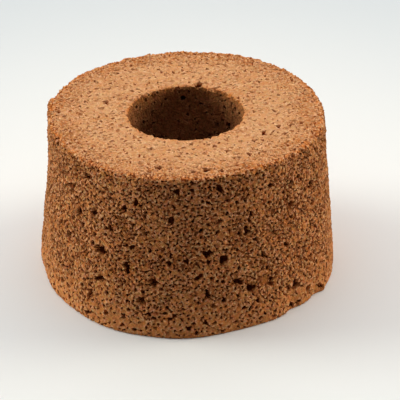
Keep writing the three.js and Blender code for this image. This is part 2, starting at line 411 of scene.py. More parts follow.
# degrees round, height, width and height of the opening
WALL_PITS = [
    (-130, 38, 1.9, 2.3), (-126, 16, 2.2, 1.4), (-134, 11, 1.7, 1.7), (-148, 13, 2.2, 2.0),
    (-121, 35, 1.7, 2.0), (-134, 30, 1.7, 1.7), (-104, 30, 1.5, 2.0), (-90, 27, 1.8, 2.0),
    (-104, 8, 2.4, 1.4), (-55, 48, 1.8, 2.1), (-44, 46, 1.7, 1.8), (-48, 25, 2.2, 2.4),
    (-66, 34, 2.6, 2.0), (-64, 40, 1.6, 2.4), (-56, 15, 1.8, 2.0), (-62, 9, 1.7, 2.0),
    (-76, 12, 1.8, 2.0), (-86, 21, 2.0, 2.0), (-78, 36, 1.6, 1.7), (-74, 42, 1.5, 1.7),
    (-46, 2, 3.0, 1.7), (-28, 2, 2.4, 1.5), (-130, 2.5, 2.8, 1.5), (-109, 2, 2.0, 1.4),
    (-96, 7, 1.8, 1.6), (-83, 5, 1.8, 1.6), (-42, 2, 3.0, 1.4), (-47, 8.5, 2.3, 3.0),
]
# degrees round, distance from the axis, width round and width outward
TOP_PITS = [
    (78, 20.9, 2.9, 3.4), (162, 28.0, 2.2, 1.8), (126, 40.5, 1.6, 1.4), (1, 29.5, 1.9, 1.6),
    (-20, 32.0, 1.9, 1.8), (-30, 29.0, 2.1, 1.5), (-43, 30.0, 2.4, 1.4), (-38, 44.0, 1.8, 1.2),
    (-67, 41.0, 1.4, 1.2), (-95, 30.5, 2.3, 1.7), (-109, 22.0, 1.6, 1.4), (-106, 42.0, 1.9, 1.3),
    (-142, 42.0, 1.5, 1.3), (-81, 40.5, 2.7, 2.3), (-103, 38.5, 2.8, 2.2), (-69, 25.5, 1.6, 1.9),
    (-86, 22.5, 1.5, 1.7), (-64, 30.5, 2.1, 1.6), (-56, 36.0, 1.6, 1.9), (-62, 36.0, 1.6, 1.7),
    (-26, 35.5, 1.7, 1.7), (-87, 41.0, 1.9, 1.8), (-75, 42.5, 1.9, 1.8),
]

for degrees, height, across, tall in LARGE_HOLLOWS:
    for way in rng.uniform(0, TURN, LOBES):
        along = wall_along(height) + LOBE_SHIFT * tall * math.sin(way)
        aside = math.degrees(LOBE_SHIFT * across * math.cos(way) / radius_at(along))
        bubbles.append(hollow(degrees + aside, along, LOBE_SIZE * across, LOBE_SIZE * tall))
bubbles += wall_hollows(WALL_PITS)
for degrees, radius, across, tall in TOP_PITS:
    bubbles.append(hollow(degrees, top_along(radius), across, tall))
print(len(bubbles), "with lobes and pits")

# %% a way to fill the room that is left
# the lowest part of the wall is calmer, with more sponge between its bubbles
CALM_REACH, CALM_GAP = 8.0, 1.8
# elsewhere they crowd together in clusters
CLUSTER_SIZE, CLUSTERING, CLUSTER_SEED = 5.0, 1.1, 8
# how much small widths are preferred, how ragged the edges are, and how far from round
SMALL_SKEW, SMALL_RAGGED, SQUASH = 1.7, 0.2, (0.68, 1.4)
GAP_SPREAD = (0.5, 1.5)
TRIES = 40
# the radius where hills are as wide as long, and the margin that keeps a spot inside the last hill
MEAN_RADIUS, JUST_INSIDE = 40.0, 0.001


def lumps(spots, size, seed):
    """Smooth random hills about one size apart, between -1 and 1."""
    cells_up = int(FULL_LENGTH / size) + 2
    cells_round = int(TURN * MEAN_RADIUS / size)
    hills = np.random.default_rng(seed).uniform(-1, 1, (cells_up + 1, cells_round))
    v = np.clip(spots[:, 1] / size, 0, cells_up - JUST_INSIDE)
    u = (spots[:, 0] / TURN % 1) * cells_round
    row, column = v.astype(int), u.astype(int)
    fv, fu = v - row, u - column
    fv, fu = fv * fv * (3 - 2 * fv), fu * fu * (3 - 2 * fu)
    left, right = column % cells_round, (column + 1) % cells_round
    low = hills[row, left] * (1 - fu) + hills[row, right] * fu
    high = hills[row + 1, left] * (1 - fu) + hills[row + 1, right] * fu
    return low * (1 - fv) + high * fv


def scatter(limits, widths, depths, shades, gap, wanted):
    """Drops bubbles between two distances along the skin until enough are in or no more fit."""
    chance = np.cumsum(row_radius * ((rows >= limits[0]) & (rows <= limits[1])))
    tries = wanted * TRIES
    along = np.interp(rng.random(tries), chance / chance[-1], rows)
    angle = rng.uniform(0, TURN, tries)
    width = between(widths, rng.random(tries) ** SMALL_SKEW)
    sponge_left = gap * between(GAP_SPREAD, rng.random(tries)) * (1 + CALM_GAP * bell(along, CALM_REACH))
    clusters = lumps(np.stack([angle, along], axis=1), CLUSTER_SIZE, CLUSTER_SEED)
    needed = width / 2 + sponge_left * np.exp(CLUSTERING * clusters)
    squash = between(SQUASH, rng.random(tries))
    turn = rng.uniform(0, np.pi, tries)
    depth = width * between(depths, rng.random(tries))
    shade = between(shades, rng.random(tries))
    placed = []
    for i in range(tries):
        if room_map[int(along[i] / ROW), int(angle[i] / TURN * COLUMNS)] >= needed[i]:
            across, tall = width[i] * squash[i], width[i] / squash[i]
            placed.append(
                make_bubble(angle[i], along[i], across, tall, turn[i], depth[i], SMALL_RAGGED, shade[i])
            )
        if len(placed) == wanted:
            break
    print(len(placed), "spots of", widths, "mm of", wanted, "wanted")
    return placed


print("each kind gets", TRIES, "tries for every spot that is wanted")

# %% all the smaller bubbles and crumbs
FOOT_CLEAR, HOLE_END_CLEAR, EDGE_CLEAR, HOLE_EDGE_CLEAR = 0.5, 0.8, 0.6, 0.4
FRINGE_REACH, CRUMBLY_REACH = 3.0, 9.0
wall_limits = (FOOT_CLEAR, TOP_EDGE_AT + EDGE_CLEAR)
fringe_limits = (TOP_EDGE_AT + EDGE_CLEAR, TOP_EDGE_AT + FRINGE_REACH)
rim_limits = (TOP_EDGE_AT + EDGE_CLEAR, TOP_EDGE_AT + CRUMBLY_REACH)
top_limits = (TOP_EDGE_AT + EDGE_CLEAR, HOLE_EDGE_AT - EDGE_CLEAR)
hole_limits = (HOLE_EDGE_AT - HOLE_EDGE_CLEAR, FULL_LENGTH - HOLE_END_CLEAR)
# limits, widths, depths as shares of the width, shades, sponge left between, and how many are wanted
SMALL_SPOTS = [
    # bubbles of the wall, larger then smaller, and the fringe where the wall meets the top
    (wall_limits, (1.0, 1.8), (0.5, 0.85), (0.35, 1.05), 0.3, 950),
    (wall_limits, (0.75, 1.1), (0.7, 1.0), (0.35, 1.05), 0.2, 5100),
    (fringe_limits, (0.5, 0.95), (0.7, 1.0), (0.5, 1.1), 0.45, 340),
    # pits, shallow dimples and pricks of the top
    (top_limits, (0.7, 1.4), (0.55, 0.85), (0.5, 1.0), 1.2, 190),
    (top_limits, (1.3, 2.4), (0.12, 0.24), (0.08, 0.26), 0.5, 240),
    (top_limits, (0.42, 0.7), (0.7, 1.0), (0.4, 1.1), 0.6, 460),
    # raised crumbs, close together near the rim, then over the whole top
    (rim_limits, (0.6, 1.1), (-0.5, -0.3), (0, 0), 0.2, 420),
    (top_limits, (0.6, 1.2), (-0.4, -0.2), (0, 0), 0.3, 160),
    # bubbles of the hole
    (hole_limits, (0.8, 1.4), (0.7, 0.9), (0.4, 0.9), 0.6, 400),
]
for kind in SMALL_SPOTS:
    bubbles += scatter(*kind)
print(len(bubbles), "spots in all")

# %% [markdown]
# ## Points where the surface needs them
# An even grid fine enough for such small bubbles would have far too many faces. Instead every bubble brings
# its own points: a ring on its edge, a ring on its floor, and one more if it is large. Wide stretches of
# sponge between bubbles get a few more, so that they can be rough.

# %% rings of points for every bubble
# widest bubble of each kind, and its rings: how far out as a share of its edge, and how many points
RING_KINDS = [
    (0.65, [(1.05, 5), (0.6, 2)]),
    (1.15, [(1.05, 6), (0.62, 3)]),
    (1.8, [(1.05, 8), (0.7, 5)]),
    (9.0, [(1.05, 12), (0.84, 9), (0.4, 4)]),
]
RING_JITTER = 0.3


def ring(bubble, share, count):
    steps = np.arange(count) + rng.uniform(-RING_JITTER, RING_JITTER, count)
    direction = steps * TURN / count + bubble.phase[0]
    reach = share * ragged_edge(direction, bubble)
    x = np.cos(direction) * reach * bubble.across / 2
    y = np.sin(direction) * reach * bubble.tall / 2
    dx = x * math.cos(bubble.turn) - y * math.sin(bubble.turn)
    dy = x * math.sin(bubble.turn) + y * math.cos(bubble.turn)
    return np.stack([bubble.angle + dx / radius_at(bubble.along), bubble.along + dy], axis=1)


spots, on_rim = [], []
for bubble in bubbles:
    width = (bubble.across + bubble.tall) / 2
    rings = next(rings for widest, rings in RING_KINDS if width < widest)
    for share, count in rings:
        spots.append(ring(bubble, share, count))
        on_rim.append(np.full(count, share > 1 and bubble.depth > 0))
spots, on_rim = np.concatenate(spots), np.concatenate(on_rim)
print(len(spots), "points on bubbles")

# %% points between bubbles, along the edges and on the two open ends
# steps between points on the wall, on the top, in the hole, along crisp edges and round the open ends
WALL_STEP, TOP_STEP, HOLE_STEP, EDGE_STEP, FOOT_STEP = 0.95, 0.82, 1.5, 0.55, 0.8
# the least distance of such a point from any bubble
RIDGE_ROOM = 0.36
FIRST_RIDGE, RIDGE_MARGIN, END_MARGIN = 1.6, 1.0, 0.35
RIDGE_JITTER, EDGE_JITTER = 0.35, 0.2
FOOT_EDGE_AT = 0.75
# edges that get three close rings: where they are along the skin, and how far apart the rings are
CLOSE_RINGS = [(TOP_EDGE_AT, 0.75), (HOLE_EDGE_AT, 0.8), (FOOT_EDGE_AT, 0.3)]


def level_ring(along, step, jitter):
    count = int(TURN * radius_at(along) / step)
    angle = (np.arange(count) + rng.uniform(-jitter, jitter, count)) * TURN / count
    return np.stack([angle, along + step * rng.uniform(-jitter, jitter, count)], axis=1)


def level_rings(first, last, step):
    return [level_ring(along, step, RIDGE_JITTER) for along in np.arange(first, last, step)]


def read_map(values, spots):
    row = np.clip(np.rint(spots[:, 1] / ROW).astype(int), 0, len(rows) - 1)
    column = np.rint(spots[:, 0] / TURN * COLUMNS).astype(int) % COLUMNS
    return values[row, column]


ridge = level_rings(FIRST_RIDGE, TOP_EDGE_AT, WALL_STEP)
ridge += level_rings(TOP_EDGE_AT + RIDGE_MARGIN, HOLE_EDGE_AT, TOP_STEP)
ridge += level_rings(HOLE_EDGE_AT + RIDGE_MARGIN, FULL_LENGTH - RIDGE_MARGIN, HOLE_STEP)
for edge, reach in CLOSE_RINGS:
    ridge += [level_ring(edge + shift, EDGE_STEP, EDGE_JITTER) for shift in (-reach, 0, reach)]
ridge = np.concatenate(ridge)
ridge = ridge[read_map(room_map, ridge) > RIDGE_ROOM]
foot_loop, hole_loop = level_ring(0.0, FOOT_STEP, 0.0), level_ring(FULL_LENGTH, FOOT_STEP, 0.0)
kept = (spots[:, 1] > END_MARGIN) & (spots[:, 1] < FULL_LENGTH - END_MARGIN)
spots, on_rim = spots[kept], on_rim[kept]
all_spots = np.concatenate([foot_loop, hole_loop, spots, ridge])
rim = np.concatenate([np.zeros(len(foot_loop) + len(hole_loop)), on_rim, np.zeros(len(ridge))])
spot_angle, spot_along = all_spots[:, 0], all_spots[:, 1]
print(len(ridge), "ridge points,", len(all_spots), "in all")

# %% [markdown]
# ## From spots to one closed skin
# Blender can join scattered flat points into well-shaped triangles. The skin is first laid flat as a disc
# that keeps small shapes true, so triangles that are good there are good on the cake. The flat underside
# is joined the same way, between the foot's loop and the hole's.

# %% heights of the points
# hill heights on the wall and in the hole, then on the top
WALL_RELIEF = {"grain": 0.12, "lumps": 0.14, "swell": 0.16}
TOP_RELIEF = {"grain": 0.12, "lumps": 0.14, "swell": 0.2}
# how torn the surface is: the wall fully, but less at its foot, and the top only near its edge; the calmer
# foot gets less browning, gaps and pin holes, which makes it lighter, in part as painted light from the pale
# floor
FOOT_TORN, FOOT_REACH, TOP_TORN, TOP_REACH = 0.35, 12.0, 0.4, 8.0
LUMP_SIZE, SWELL_SIZE, EDGE_LUMP_SIZE = 2.2, 7.0, 1.4
GRAIN_SEED, LUMP_SEED, SWELL_SEED, EDGE_LUMP_SEED = 7, 3, 4, 5
# how far a bubble's rim stands up
LIP = 0.07
EDGE_RELIEF, EDGE_RELIEF_REACH = 0.34, 1.1
END_FADE = 1.2
FLAT_DEPTH = 0.02

on_top = (spot_along > TOP_EDGE_AT) & (spot_along < HOLE_EDGE_AT)
relief = {name: np.where(on_top, TOP_RELIEF[name], WALL_RELIEF[name]) for name in WALL_RELIEF}
depth = read_map(depth_map, all_spots)
rim = rim * (abs(depth) < FLAT_DEPTH)
torn = 1 - (1 - FOOT_TORN) * bell(spot_along, FOOT_REACH)
torn = np.where(on_top, TOP_TORN + (1 - TOP_TORN) * bell(spot_along - TOP_EDGE_AT, TOP_REACH), torn)
rough = torn * relief["grain"] * np.random.default_rng(GRAIN_SEED).normal(size=len(all_spots))
hills = relief["lumps"] * lumps(all_spots, LUMP_SIZE, LUMP_SEED)
rough += hills + relief["swell"] * lumps(all_spots, SWELL_SIZE, SWELL_SEED)
near_edge = bell(spot_along - TOP_EDGE_AT, EDGE_RELIEF_REACH)
near_edge += bell(spot_along - HOLE_EDGE_AT, EDGE_RELIEF_REACH)
rough += EDGE_RELIEF * near_edge * lumps(all_spots, EDGE_LUMP_SIZE, EDGE_LUMP_SEED)
end_fade = np.clip(np.minimum(spot_along, FULL_LENGTH - spot_along) / END_FADE, 0, 1)
lift = end_fade * (rough + LIP * rim - depth)
normals = skin_normals(spot_angle, spot_along)
skin = skin_points(spot_angle, spot_along) + normals * lift[:, None]
skin[:, 2] = np.maximum(skin[:, 2], 0)
skin[: len(foot_loop) + len(hole_loop), 2] = 0
print("points lifted by", lift.min().round(2), "to", lift.max().round(2), "mm")

# %% join the skin
DISC_SIZE, SAME_POINT = 100, 1e-9
# what to join: all the points out to their hull, or only those between closed loops
WHOLE_HULL, INSIDE_LOOPS = 0, 1
flat = np.stack([np.cos(spot_angle), np.sin(spot_angle)], axis=1)
flat = DISC_SIZE * flat * np.exp(-np.interp(spot_along, rows, row_flat))[:, None]
_, _, faces, origin, _, _ = delaunay_2d_cdt([Vector(p) for p in flat], [], [], WHOLE_HULL, SAME_POINT)
assert all(len(o) == 1 for o in origin), "two points fell together"
origin = np.array([o[0] for o in origin])
faces = origin[np.array(faces)]
hole_ids = np.arange(len(foot_loop), len(foot_loop) + len(hole_loop))
faces = faces[~np.isin(faces, hole_ids).all(axis=1)]
print(len(faces), "triangles of skin")

# %% join the underside
BASE_PORES, BASE_SEED = 200, 11
CLEAR_OF_HOLE, CLEAR_OF_FOOT = 2.5, 4.5
BASE_LIMITS = ((HOLE_BASE_RADIUS + CLEAR_OF_HOLE) ** 2, (BASE_RADIUS - CLEAR_OF_FOOT) ** 2)
BASE_PORE_SIZES = (0.35, 0.9)
# rings of one pore: how far out, how many points and how deep, by its size
BASE_RINGS = [(1.0, 6, 0.0), (0.7, 4, 0.8)]
base_rng = np.random.default_rng(BASE_SEED)
base_extra, base_rise = [], []
for _ in range(BASE_PORES):
    reach = math.sqrt(base_rng.uniform(*BASE_LIMITS))
    turn = base_rng.uniform(0, TURN)
    middle = np.array([reach * math.cos(turn), reach * math.sin(turn)]) - footprint_middle[:2]
    size = base_rng.uniform(*BASE_PORE_SIZES)
    for share, count, deep in BASE_RINGS:
        around = (np.arange(count) + base_rng.random()) * TURN / count
        base_extra.append(middle + size * share * np.stack([np.cos(around), np.sin(around)], axis=1))
        base_rise.append(np.full(count, deep * size))
base_extra, base_rise = np.concatenate(base_extra), np.concatenate(base_rise)

foot_count, hole_count = len(foot_loop), len(hole_loop)
loops = [(i, (i + 1) % foot_count) for i in range(foot_count)]
loops += [(foot_count + i, foot_count + (i + 1) % hole_count) for i in range(hole_count)]
base_spots = skin[: foot_count + hole_count]
base_flat = np.concatenate([base_spots[:, :2], base_extra])
base_points = [Vector(p) for p in base_flat]
_, _, base_faces, origin, _, _ = delaunay_2d_cdt(base_points, loops, [], INSIDE_LOOPS, SAME_POINT)
origin = np.array([o[0] for o in origin])
base_faces = origin[np.array(base_faces)]
base_faces = base_faces[~np.isin(base_faces, hole_ids).all(axis=1)]
shift = len(skin) - len(base_spots)
base_faces = np.where(base_faces >= len(base_spots), base_faces + shift, base_faces)[:, ::-1]
print(len(base_faces), "triangles of underside")

# %% [markdown]
# ## The piece itself
# The arrays become one mesh that stands for the imported solid. Three numbers stay on its points for the
# materials to read: how dark a point is painted as shade, by how deep in a bubble it lies, with thin rims
# and crumbs below zero for a painted highlight, how near the crisp edges it is, and how torn the surface is
# there. A painted mask could say the same, but these numbers are already known for every point.

# %% make the mesh
CRISP_ANGLE = math.radians(38)
vertices = np.concatenate([skin, np.concatenate([base_extra, base_rise[:, None]], axis=1)])
triangles = np.concatenate([faces, base_faces])
edges = np.concatenate([triangles[:, pair] for pair in ([0, 1], [1, 2], [2, 0])])
edges = np.sort(edges, axis=1)
_, uses = np.unique(edges, axis=0, return_counts=True)
mesh = bpy.data.meshes.new("chiffon_cake")
mesh.vertices.add(len(vertices))
mesh.vertices.foreach_set("co", (vertices * MM).astype(np.float32).ravel())
mesh.loops.add(3 * len(triangles))
mesh.loops.foreach_set("vertex_index", triangles.astype(np.int32).ravel())
mesh.polygons.add(len(triangles))
mesh.polygons.foreach_set("loop_start", np.arange(0, 3 * len(triangles), 3, dtype=np.int32))
mesh.update(calc_edges=True)
mesh.polygons.foreach_set("use_smooth", np.ones(len(triangles), bool))
mesh.set_sharp_from_angle(angle=CRISP_ANGLE)
cake = bpy.data.objects.new("chiffon_cake", mesh)
bpy.context.scene.collection.objects.link(cake)
print("cake:", len(mesh.vertices), "vertices,", len(mesh.polygons), "triangles,",
      "edges used other than twice:", int((uses != 2).sum()))

# %% numbers on its points
# rims of bubbles get a painted highlight: below zero they turn toward the pale crest colour
RIM_HIGHLIGHT = -0.5
# where the crisp edges take the edge colour: brown on the top's rim, and in the hole a band that is brown
# and also lighter, a painted light near the hole's top; how far past the edge, and over what reach
TOP_BROWNING, HOLE_BROWNING_AND_LIGHT = (0.8, 1.0), (1.0, 1.8)
# pore holds how dark a point is painted as shade in its bubble, and below zero how pale as a painted
# highlight
pore = read_map(shade_map, all_spots) * end_fade + RIM_HIGHLIGHT * rim
edge_browning_and_light = bell(spot_along - TOP_EDGE_AT - TOP_BROWNING[0], TOP_BROWNING[1])
edge_browning_and_light += bell(spot_along - HOLE_EDGE_AT - HOLE_BROWNING_AND_LIGHT[0], HOLE_BROWNING_AND_LIGHT[1])
pore = np.concatenate([pore, base_rise > 0])
edge_browning_and_light = np.concatenate([edge_browning_and_light, np.zeros(len(base_rise))])
torn = np.concatenate([torn, np.ones(len(base_rise))])
for name, values in (("pore", pore), ("crisp_edge", edge_browning_and_light), ("torn", torn)):
    layer = mesh.attributes.new(name, "FLOAT", "POINT")
    layer.data.foreach_set("value", values.astype(np.float32))
print("pore from", pore.min().round(2), "to", pore.max().round(2))

# %% which faces are crumb, skin, underside and hole
# how far the skin's border wanders, and how deep a pit is that goes through the skin; such a pit shows
# crumb, whose darker hollow colour is painted shade
SKIN_BORDER, SKIN_THICKNESS = 0.9, 0.8
BORDER_SEED = 6
# the underside counts as before the foot
BEFORE_FOOT = -1.0
CRUMB, SKIN, UNDERSIDE, TUBE = range(4)
corner_angle = np.concatenate([spot_angle, np.zeros(len(base_rise))])[triangles]
corner_along = np.concatenate([spot_along, np.full(len(base_rise), BEFORE_FOOT)])[triangles]
middle_along = corner_along.mean(axis=1)
is_base = np.arange(len(triangles)) >= len(faces)
face_spots = np.stack([corner_angle[:, 0], middle_along], axis=1)
border = SKIN_BORDER * lumps(face_spots, EDGE_LUMP_SIZE, BORDER_SEED)
finish = np.where(middle_along > TOP_EDGE_AT + border, SKIN, CRUMB)
finish = np.where(middle_along > HOLE_EDGE_AT + border, TUBE, finish)
corner_depth = np.concatenate([depth, np.zeros(len(base_rise))])[triangles]
finish = np.where((finish == SKIN) & (corner_depth.mean(axis=1) > SKIN_THICKNESS), CRUMB, finish)
finish = np.where(is_base, UNDERSIDE, finish)
mesh.polygons.foreach_set("material_index", finish.astype(np.int32))
print("faces of crumb, skin, underside and hole:", np.bincount(finish))

# %% [markdown]
# ## A flat layout for baked colour
# A game engine can't run these shader nodes, so the colours can be baked to a picture. That needs each face
# to
# have its own place on a flat sheet. The skin was unrolled once already, so the layout is the same idea:
# two strips of wall, one of hole, and a ring each for the top and the underside.

# %% the layout
# the sheet's side, the radii that the strips are unrolled by, and where each piece starts or is centred
SHEET = 222.0
WALL_STRIP, HOLE_STRIP = 48.0, 18.3
FIRST_WALL_AT, SECOND_WALL_AT, HOLE_AT = (3, 2), (3, 61), (160, 3)
TOP_AT, BASE_AT = (50, 170), (157, 170)
first_turn = corner_angle[:, :1]
near_angle = first_turn + (corner_angle - first_turn + np.pi) % TURN - np.pi
turn_middle = near_angle.mean(axis=1, keepdims=True)
lap = np.floor(turn_middle / TURN) * TURN
near_angle, turn_middle = near_angle - lap, turn_middle - lap
second_half = (turn_middle >= np.pi)[:, 0]
layout = np.stack([near_angle * WALL_STRIP, corner_along], axis=2) + FIRST_WALL_AT
layout[second_half] += np.array(SECOND_WALL_AT) - FIRST_WALL_AT - (np.pi * WALL_STRIP, 0)
is_hole = ~is_base & (middle_along >= HOLE_EDGE_AT)
down_hole = np.stack([corner_along - HOLE_EDGE_AT, near_angle * HOLE_STRIP], axis=2)
layout[is_hole] = down_hole[is_hole] + HOLE_AT
over_top = ~is_base & ~is_hole & (middle_along > TOP_EDGE_AT)
round_top = np.stack([np.cos(corner_angle), np.sin(corner_angle)], axis=2)
layout[over_top] = (round_top * (TOP_RADIUS + TOP_EDGE_AT - corner_along)[..., None])[over_top] + TOP_AT
layout[is_base] = vertices[triangles[is_base]][..., :2] + BASE_AT
bake_sheet = mesh.uv_layers.new(name="OFBake")
bake_sheet.data.foreach_set("uv", (layout / SHEET).astype(np.float32).ravel())
print("layout within", (layout / SHEET).min().round(3), (layout / SHEET).max().round(3))

# %% [markdown]
# ## Sponge as a node group
# Skin, crumb, hole and underside are the same sponge, with different amounts of browning; the wall is also
# darker than the top in part as painted shade, and the hole darker as painted shade. Each could have its own
# nodes, but what they share is built once as a node group: cloudy browning, warm patches, small grains with
# gaps painted darker as shade, pin holes too small to model painted dark as shade, pale rims as a painted
# highlight, bubbles painted darker as shade, and a mottle that shifts the hue a little. Browning, gaps, pin
# holes and grain are calmer where the surface is less torn.

# %% sockets of the group
# Hollow is the painted shade of bubbles and pin holes
COLOUR_INPUTS = ("Light", "Dark", "Crest Highlight", "Hollow Shade", "Edge")
# Crest is the painted highlight of bubble rims and raised crumbs
SHARE_INPUTS = ("Edge Share", "Warm Share", "Pin Holes", "Gaps", "Mottle")
SOCKETS = [
    ("INPUT", "NodeSocketColor", COLOUR_INPUTS), ("INPUT", "NodeSocketFloat", SHARE_INPUTS),
    ("OUTPUT", "NodeSocketColor", ["Colour"]), ("OUTPUT", "NodeSocketFloat", ["Roughness", "Height"]),
]
sponge = bpy.data.node_groups.new("sponge", "ShaderNodeTree")
for side, kind, names in SOCKETS:
    for name in names:
        sponge.interface.new_socket(name, in_out=side, socket_type=kind)
print("sponge takes", len(COLOUR_INPUTS), "colours and", len(SHARE_INPUTS), "shares")

# %% short ways to add nodes
# levels of detail in a noise, and where a Mix node has its share, its two colours and its result
SOFT, PLAIN, FINE = 2.0, 3.0, 4.0
MIX_SHARE, MIX_FIRST, MIX_SECOND, MIX_RESULT = 0, 6, 7, 2


def add(tree, kind, **settings):
    node = tree.nodes.new(kind)
    for name, value in settings.items():
        setattr(node, name, value)
    return node


def fill(tree, socket, value):
    """Sets a socket to a number or a colour, or links it to another node's output."""
    if isinstance(value, (int, float, tuple)):
        socket.default_value = value
    else:
        tree.links.new(value, socket)


def noise(tree, place, size_mm, detail=PLAIN, output="Fac"):
    node = add(tree, "ShaderNodeTexNoise")
    for name, value in (("Vector", place), ("Scale", 1 / (size_mm * MM)), ("Detail", detail)):
        fill(tree, node.inputs[name], value)
    return node.outputs[output]


def cells(tree, place, size_mm):
    """How far a point is from the middle of its cell, where cells are about one size wide."""
    node = add(tree, "ShaderNodeTexVoronoi")
    for name, value in (("Vector", place), ("Scale", 1 / (size_mm * MM))):
        fill(tree, node.inputs[name], value)
    return node.outputs["Distance"]


def remap(tree, value, low, high, to_low=0.0, to_high=1.0):
    node = add(tree, "ShaderNodeMapRange", interpolation_type="SMOOTHSTEP")
    names = ("Value", "From Min", "From Max", "To Min", "To Max")
    for name, number in zip(names, (value, low, high, to_low, to_high)):
        fill(tree, node.inputs[name], number)
    return node.outputs["Result"]


def calculate(tree, operation, first, second):
    node = add(tree, "ShaderNodeMath", operation=operation)
    fill(tree, node.inputs[0], first)
    fill(tree, node.inputs[1], second)
    return node.outputs["Value"]


def weigh(tree, *parts):
    """Adds up outputs, each times its own weight."""
    total = 0.0
    for value, weight in parts:
        total = calculate(tree, "ADD", calculate(tree, "MULTIPLY", value, weight), total)
    return total


def mix(tree, share, first, second, blend="MIX"):
    node = add(tree, "ShaderNodeMix", data_type="RGBA", blend_type=blend, clamp_factor=True)
    for at, value in ((MIX_SHARE, share), (MIX_FIRST, first), (MIX_SECOND, second)):
        fill(tree, node.inputs[at], value)
    return node.outputs[MIX_RESULT]


print("noise comes with detail", SOFT, PLAIN, "or", FINE)

# %% patterns of the sponge
# sizes in millimetres, then the part of each pattern that is stretched from nothing to all
CLOUD_SIZE, PATCH_SIZE, WARM_SIZE, GRAIN_SIZE, FLECK_SIZE, MOTTLE_SIZE = 9.0, 1.6, 2.6, 0.32, 0.7, 1.0
CRUMB_CELL, PIN_CELL = 0.95, 0.75
CLOUD_RANGE, PATCH_RANGE, WARM_RANGE = (0.32, 0.68), (0.3, 0.7), (0.46, 0.66)
GAP_RANGE, PIN_RANGE = (0.35, 0.75), (0.2, 0.4)


def times(first, second):
    return calculate(sponge, "MULTIPLY", first, second)


inputs = add(sponge, "NodeGroupInput").outputs
outputs = add(sponge, "NodeGroupOutput").inputs
place = add(sponge, "ShaderNodeTexCoord").outputs["Object"]
pore_shade, edge_near, torn_share = (
    add(sponge, "ShaderNodeAttribute", attribute_name=name).outputs["Fac"]
    for name in ("pore", "crisp_edge", "torn")
)
clouds = remap(sponge, noise(sponge, place, CLOUD_SIZE), *CLOUD_RANGE)
patches = remap(sponge, noise(sponge, place, PATCH_SIZE, FINE), *PATCH_RANGE)
warm = remap(sponge, noise(sponge, place, WARM_SIZE, FINE), *WARM_RANGE)
grain = noise(sponge, place, GRAIN_SIZE, SOFT)
mottle = noise(sponge, place, MOTTLE_SIZE, SOFT, "Color")
gaps = remap(sponge, cells(sponge, place, CRUMB_CELL), *GAP_RANGE)
gaps = times(gaps, times(inputs["Gaps"], torn_share))
pins = remap(sponge, cells(sponge, place, PIN_CELL), *PIN_RANGE, 1.0, 0.0)
pins = times(pins, times(inputs["Pin Holes"], torn_share))
print("patterns:", len(sponge.nodes), "nodes")

# %% colour of the sponge
CLOUD_WEIGHT, PATCH_WEIGHT = 0.4, 0.4
# ranges of one number and what they become: browning where torn, edge colour by patches, pale specks where
# the painted highlight shows, painted highlight on crests by how far a point is below zero, and grain as a
# tone
TORN_BROWNING = (0.0, 1.0, 0.35, 1.0)
EDGE_PATCHES = (0.2, 0.85, 0.3, 1.0)
FLECK_RANGE = (0.44, 0.62, 0.1, 1.0)
CREST_HIGHLIGHT_RANGE = (-0.5, 0.0, 0.85, 0.0)
GRAIN_TONE = (0.28, 0.72, 0.8, 1.2)
# painted shade: the stretch of the pore number over which bubbles turn to the dark hollow colour, and how
# dark a pin hole is painted
HOLLOW_SHADE_RANGE, PIN_SHADE = (0.1, 0.7), 0.7
browning = weigh(sponge, (clouds, CLOUD_WEIGHT), (patches, PATCH_WEIGHT))
browning = times(browning, remap(sponge, torn_share, *TORN_BROWNING))
# gaps between grains are pushed toward the dark colour, a painted shade in the crevices
browning = calculate(sponge, "ADD", browning, gaps)
colour = mix(sponge, browning, inputs["Light"], inputs["Dark"])
colour = mix(sponge, times(warm, inputs["Warm Share"]), colour, inputs["Edge"])
edge_tint = times(times(edge_near, inputs["Edge Share"]), remap(sponge, patches, *EDGE_PATCHES))
colour = mix(sponge, edge_tint, colour, inputs["Edge"])
# painted highlight: rims and raised crumbs turn pale in specks
highlight_flecks = remap(sponge, noise(sponge, place, FLECK_SIZE, SOFT), *FLECK_RANGE)
crest = times(remap(sponge, pore_shade, *CREST_HIGHLIGHT_RANGE), highlight_flecks)
colour = mix(sponge, crest, colour, inputs["Crest Highlight"])
# bubbles and pin holes are painted dark, as shade
painted_hollow_shade = remap(sponge, pore_shade, *HOLLOW_SHADE_RANGE)
painted_hollow_shade = calculate(sponge, "MAXIMUM", painted_hollow_shade, times(pins, PIN_SHADE))
colour = mix(sponge, painted_hollow_shade, colour, inputs["Hollow Shade"])
colour = mix(sponge, inputs["Mottle"], colour, mottle, "OVERLAY")
grain_tone = remap(sponge, grain, *GRAIN_TONE)
tone = add(sponge, "ShaderNodeCombineColor")
for socket in tone.inputs:
    sponge.links.new(grain_tone, socket)
colour = mix(sponge, torn_share, colour, mix(sponge, 1.0, colour, tone.outputs["Color"], "MULTIPLY"))
sponge.links.new(colour, outputs["Colour"])
print("with colour:", len(sponge.nodes), "nodes")

# %% roughness and height of the sponge
ROUGHNESS_RANGE = (0.2, 0.8, 0.82, 0.98)
GRAIN_RISE, PATCH_RISE, GAP_RISE, PIN_RISE = 1.0, 0.5, -2.0, -1.0
bump_height = weigh(sponge, (grain, GRAIN_RISE), (patches, PATCH_RISE), (gaps, GAP_RISE), (pins, PIN_RISE))
sponge.links.new(remap(sponge, grain, *ROUGHNESS_RANGE), outputs["Roughness"])
sponge.links.new(bump_height, outputs["Height"])
print("sponge group:", len(sponge.nodes), "nodes")

